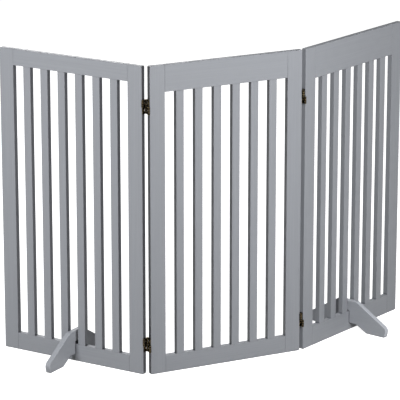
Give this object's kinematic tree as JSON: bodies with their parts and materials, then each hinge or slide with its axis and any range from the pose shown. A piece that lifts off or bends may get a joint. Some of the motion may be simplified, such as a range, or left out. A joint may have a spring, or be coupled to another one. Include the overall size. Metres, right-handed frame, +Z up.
{
  "type": "pet gate",
  "caption": "Free-standing folding pet gate of slatted painted-wood panels joined by two-way screen hinges, with slip-on wooden feet.",
  "frame": {"origin": "middle of the centre panel's underside, on the floor", "axes": "+Z up; the centre panel runs along X and its front faces -Y; both outer panels fold back towards +Y"},
  "size_m": [1.2292, 0.4484, 0.92],
  "materials": {
    "painted_wood": "satin cool grey paint, brushed along the grain",
    "hinge_bronze": "antique bronze plating, worn to brass on the edges",
    "hinge_pin_brass": "dull brass",
    "screw_brass": "brassed countersunk screws",
    "dowel_beech": "bare beech"
  },
  "bodies": {
    "centre_panel": {"centre_panel_bottom_rail": "painted_wood", "centre_panel_dowels": "dowel_beech", "centre_panel_left_stile": "painted_wood", "centre_panel_right_stile": "painted_wood", "centre_panel_slat_1": "painted_wood", "centre_panel_slat_2": "painted_wood", "centre_panel_slat_3": "painted_wood", "centre_panel_slat_4": "painted_wood", "centre_panel_slat_5": "painted_wood", "centre_panel_slat_6": "painted_wood", "centre_panel_top_rail": "painted_wood", "left_hinge_centre_pins": "hinge_pin_brass", "left_hinge_centre_screws": "screw_brass", "left_lower_hinge_bottom_link": "hinge_bronze", "left_lower_hinge_centre_leaf": "hinge_bronze", "left_upper_hinge_bottom_link": "hinge_bronze", "left_upper_hinge_centre_leaf": "hinge_bronze", "right_hinge_centre_pins": "hinge_pin_brass", "right_hinge_centre_screws": "screw_brass", "right_lower_hinge_centre_leaf": "hinge_bronze", "right_lower_hinge_top_link": "hinge_bronze", "right_upper_hinge_centre_leaf": "hinge_bronze", "right_upper_hinge_top_link": "hinge_bronze"},
    "left_panel": {"left_hinge_outer_pins": "hinge_pin_brass", "left_hinge_outer_screws": "screw_brass", "left_lower_hinge_outer_leaf": "hinge_bronze", "left_lower_hinge_top_link": "hinge_bronze", "left_panel_bottom_rail": "painted_wood", "left_panel_dowels": "dowel_beech", "left_panel_left_stile": "painted_wood", "left_panel_right_stile": "painted_wood", "left_panel_slat_1": "painted_wood", "left_panel_slat_2": "painted_wood", "left_panel_slat_3": "painted_wood", "left_panel_slat_4": "painted_wood", "left_panel_slat_5": "painted_wood", "left_panel_slat_6": "painted_wood", "left_panel_top_rail": "painted_wood", "left_upper_hinge_outer_leaf": "hinge_bronze", "left_upper_hinge_top_link": "hinge_bronze"},
    "right_panel": {"right_hinge_outer_pins": "hinge_pin_brass", "right_hinge_outer_screws": "screw_brass", "right_lower_hinge_bottom_link": "hinge_bronze", "right_lower_hinge_outer_leaf": "hinge_bronze", "right_panel_bottom_rail": "painted_wood", "right_panel_dowels": "dowel_beech", "right_panel_left_stile": "painted_wood", "right_panel_right_stile": "painted_wood", "right_panel_slat_1": "painted_wood", "right_panel_slat_2": "painted_wood", "right_panel_slat_3": "painted_wood", "right_panel_slat_4": "painted_wood", "right_panel_slat_5": "painted_wood", "right_panel_slat_6": "painted_wood", "right_panel_top_rail": "painted_wood", "right_upper_hinge_bottom_link": "hinge_bronze", "right_upper_hinge_outer_leaf": "hinge_bronze"},
    "left_foot": {"left_foot": "painted_wood"},
    "right_foot": {"right_foot": "painted_wood"}
  },
  "joints": [
    {"name": "left_fold", "type": "hinge", "parent": "centre_panel", "child": "left_panel", "pos_m": [-0.2484, 0.009, 0.46], "axis": [0, 0, -1], "range_deg": [-57.35, 52.65]},
    {"name": "right_fold", "type": "hinge", "parent": "centre_panel", "child": "right_panel", "pos_m": [0.2484, 0.009, 0.46], "axis": [0, 0, 1], "range_deg": [-25.3, 84.7]},
    {"name": "left_foot_lift", "type": "slide", "parent": "left_panel", "child": "left_foot", "axis": [0, 0, 1], "range_m": [0, 0.07]},
    {"name": "right_foot_lift", "type": "slide", "parent": "right_panel", "child": "right_foot", "axis": [0, 0, 1], "range_m": [0, 0.07]}
  ]
}
